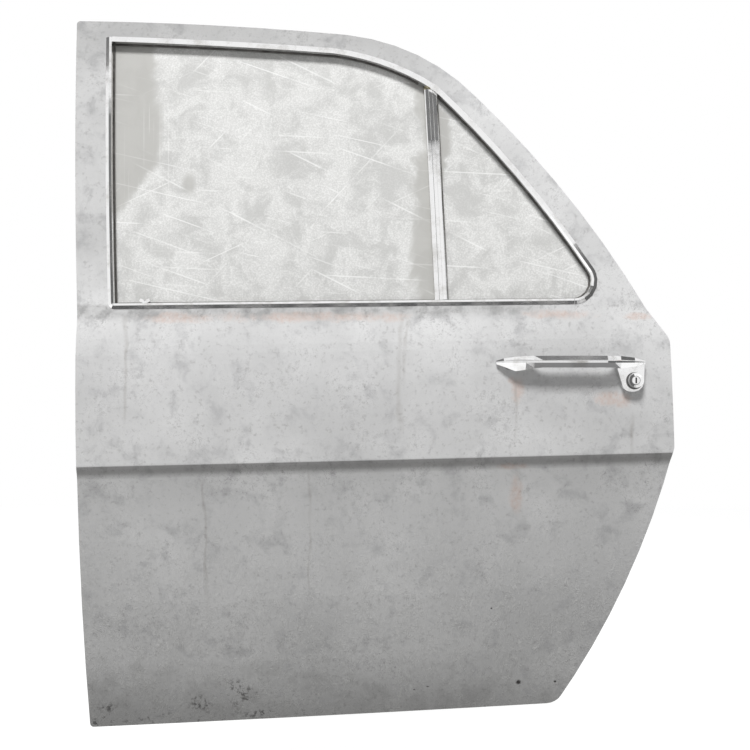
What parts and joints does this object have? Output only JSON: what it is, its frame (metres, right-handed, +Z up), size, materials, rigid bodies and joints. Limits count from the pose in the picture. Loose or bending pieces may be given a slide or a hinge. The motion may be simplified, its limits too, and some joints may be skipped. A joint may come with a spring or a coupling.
{
  "type": "car door shell",
  "caption": "Rear side door of an older saloon: pressed steel skin and inner panel, bright window trim, drop and quarter glass, pull handle, latch and winder.",
  "frame": {"origin": "centre of the lower hinge seat on the front shut face", "axes": "+X rearwards along the car, +Y into the car, +Z up"},
  "size_m": [0.9078, 0.1976, 1.0996],
  "materials": {
    "rail_plating": "zinc plated",
    "latch_plating": "zinc plated",
    "plated_steel": "zinc plated",
    "bright_trim": "polished, slightly dull",
    "window_glass": "dusty safety glass",
    "seal_rubber": "weathered black",
    "white_nylon": "natural nylon",
    "screw_steel": "plain steel",
    "panel_paint": "dull grey paint",
    "handle_chrome": "polished",
    "knob_plastic": "black",
    "hinge_plate_steel": "plain steel",
    "door_paint": "aged pale grey paint",
    "primer": "dark primer",
    "cable_steel": "stranded steel"
  },
  "bodies": {
    "door": {"claw_pivot": "latch_plating", "division_bar": "plated_steel", "division_bar_capping": "bright_trim", "drum_housing": "rail_plating", "front_glass_run": "seal_rubber", "handle_front_pad": "seal_rubber", "handle_front_screw": "screw_steel", "handle_rear_pad": "seal_rubber", "handle_rear_screw": "screw_steel", "inner_panel": "panel_paint", "inner_waist_seal": "seal_rubber", "knob_ferrule": "knob_plastic", "latch_case": "latch_plating", "latch_cover": "latch_plating", "latch_screw_1": "screw_steel", "latch_screw_2": "screw_steel", "latch_screw_3": "screw_steel", "lower_hinge_plate": "hinge_plate_steel", "lower_pulley_bracket": "rail_plating", "moulding_clip": "bright_trim", "outer_skin": "door_paint", "outer_waist_rail": "primer", "outer_waist_seal": "seal_rubber", "pawl_pivot": "latch_plating", "pull_handle": "handle_chrome", "quarter_glass": "window_glass", "quarter_glass_seal": "seal_rubber", "rear_glass_run": "seal_rubber", "regulator_cable": "cable_steel", "regulator_rail": "rail_plating", "release_bearing": "latch_plating", "rod_guide": "white_nylon", "roofline_moulding": "bright_trim", "upper_hinge_plate": "hinge_plate_steel", "upper_pulley_bracket": "rail_plating", "waist_moulding": "bright_trim"},
    "glass": {"drop_glass": "window_glass", "lift_channel": "hinge_plate_steel", "slider_bracket": "hinge_plate_steel", "glass_slider": "white_nylon"},
    "winder": {"cable_drum": "rail_plating", "winder_handle": "bright_trim"},
    "winder_knob": {"winder_knob": "knob_plastic"},
    "upper_pulley": {"upper_pulley": "white_nylon"},
    "lower_pulley": {"lower_pulley": "white_nylon"},
    "button": {"push_button": "handle_chrome"},
    "key_barrel": {"key_barrel": "handle_chrome"},
    "claw": {"latch_claw": "latch_plating"},
    "pawl": {"latch_pawl": "latch_plating"},
    "release": {"release_shaft": "latch_plating", "release_handle": "bright_trim"},
    "release_rod": {"release_rod": "latch_plating"},
    "lock": {"lock_knob": "knob_plastic", "lock_rod": "latch_plating"}
  },
  "joints": [
    {"name": "glass_travel", "type": "hinge", "parent": "door", "child": "glass", "pos_m": [0.29324, 2.75007, 0.3333], "axis": [0.999, 0, 0.0436], "range_deg": [0, 7.3]},
    {"name": "winder_turn", "type": "hinge", "parent": "door", "child": "winder", "pos_m": [0.378, 0.017, 0.245], "axis": [0, -1, 0], "range_deg": [0, 859.4]},
    {"name": "winder_knob_spin", "type": "hinge", "parent": "winder", "child": "winder_knob", "pos_m": [0.31777, 0.0563, 0.15899], "axis": [0, 1, 0], "continuous": true},
    {"name": "upper_pulley_turn", "type": "hinge", "parent": "door", "child": "upper_pulley", "pos_m": [0.28879, 0.00393, 0.43526], "axis": [0, -1, 0], "range_deg": [0, 1059.9]},
    {"name": "lower_pulley_turn", "type": "hinge", "parent": "door", "child": "lower_pulley", "pos_m": [0.30868, 0.02453, -0.02031], "axis": [0, -1, 0], "range_deg": [0, 1059.9]},
    {"name": "button_press", "type": "slide", "parent": "door", "child": "button", "axis": [0, 1, 0], "range_m": [0, 0.006], "stiffness_N_per_m": 600, "springref_m": -0.005},
    {"name": "key_turn", "type": "hinge", "parent": "button", "child": "key_barrel", "pos_m": [0.8103, -0.09564, 0.391], "axis": [0, 1, 0], "range_deg": [0, 90], "stiffness_Nm_per_rad": 0.02, "springref_deg": -17.19},
    {"name": "claw_turn", "type": "hinge", "parent": "door", "child": "claw", "pos_m": [0.85027, -0.002, 0.38774], "axis": [-0.9989, 0, -0.0465], "range_deg": [0, 55], "stiffness_Nm_per_rad": 0.05, "springref_deg": -28.65},
    {"name": "pawl_lift", "type": "hinge", "parent": "door", "child": "pawl", "pos_m": [0.85181, -0.016, 0.35478], "axis": [0.9989, 0, 0.0465], "range_deg": [0, 18], "stiffness_Nm_per_rad": 0.05, "springref_deg": -22.92},
    {"name": "release_pull", "type": "hinge", "parent": "door", "child": "release", "pos_m": [0.586, 0.0357, 0.31852], "axis": [0, 1, 0], "range_deg": [0, 35], "stiffness_Nm_per_rad": 0.6, "springref_deg": -17.19},
    {"name": "release_rod_slide", "type": "slide", "parent": "door", "child": "release_rod", "axis": [1, 0, 0], "range_m": [0, 0.0106]},
    {"name": "lock_slide", "type": "slide", "parent": "door", "child": "lock", "axis": [0, 0, -1], "range_m": [0, 0.012]}
  ],
  "couplings": [
    {"joint": "winder_turn", "follows": "glass_travel", "ratio": 117.65},
    {"joint": "upper_pulley_turn", "follows": "glass_travel", "ratio": 145.08},
    {"joint": "lower_pulley_turn", "follows": "glass_travel", "ratio": 145.08},
    {"joint": "release_rod_slide", "follows": "release_pull", "m_per_rad": 0.017}
  ]
}
